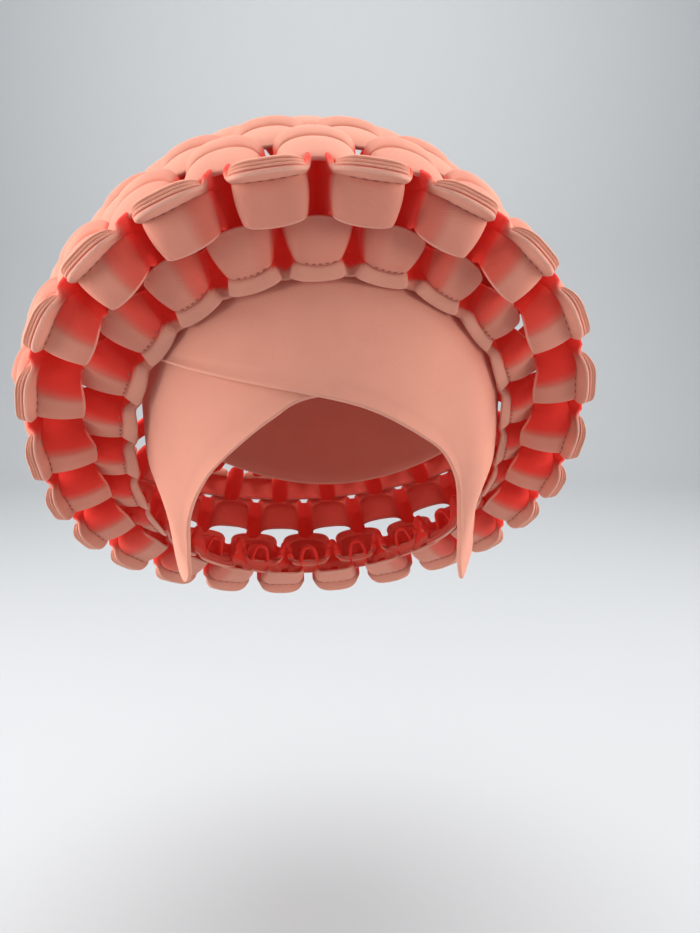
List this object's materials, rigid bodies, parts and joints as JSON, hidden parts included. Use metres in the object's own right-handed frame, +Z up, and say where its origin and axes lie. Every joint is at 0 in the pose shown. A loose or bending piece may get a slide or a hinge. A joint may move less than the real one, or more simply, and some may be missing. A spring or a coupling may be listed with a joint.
{
  "type": "hijab hat",
  "caption": "Soft knit head covering: a fitted cap with a crossed front and two side flaps, ringed by a puffed halo of looped cloth strips.",
  "frame": {"origin": "inside of the crown, at the point that rests on the top of the wearer's head", "axes": "+Z up, the wearer faces -Y, +X to the right of a viewer in front"},
  "size_m": [0.2952, 0.2428, 0.2661],
  "materials": {
    "coral_knit": "matte twill knit"
  },
  "bodies": {
    "root": {"crown_cap": "coral_knit", "front_wrap_over": "coral_knit", "front_wrap_under": "coral_knit", "loop_band_a": "coral_knit", "loop_band_b": "coral_knit", "loop_band_c": "coral_knit", "loop_band_d": "coral_knit", "loop_band_e": "coral_knit", "loop_band_f": "coral_knit"}
  },
  "joints": []
}
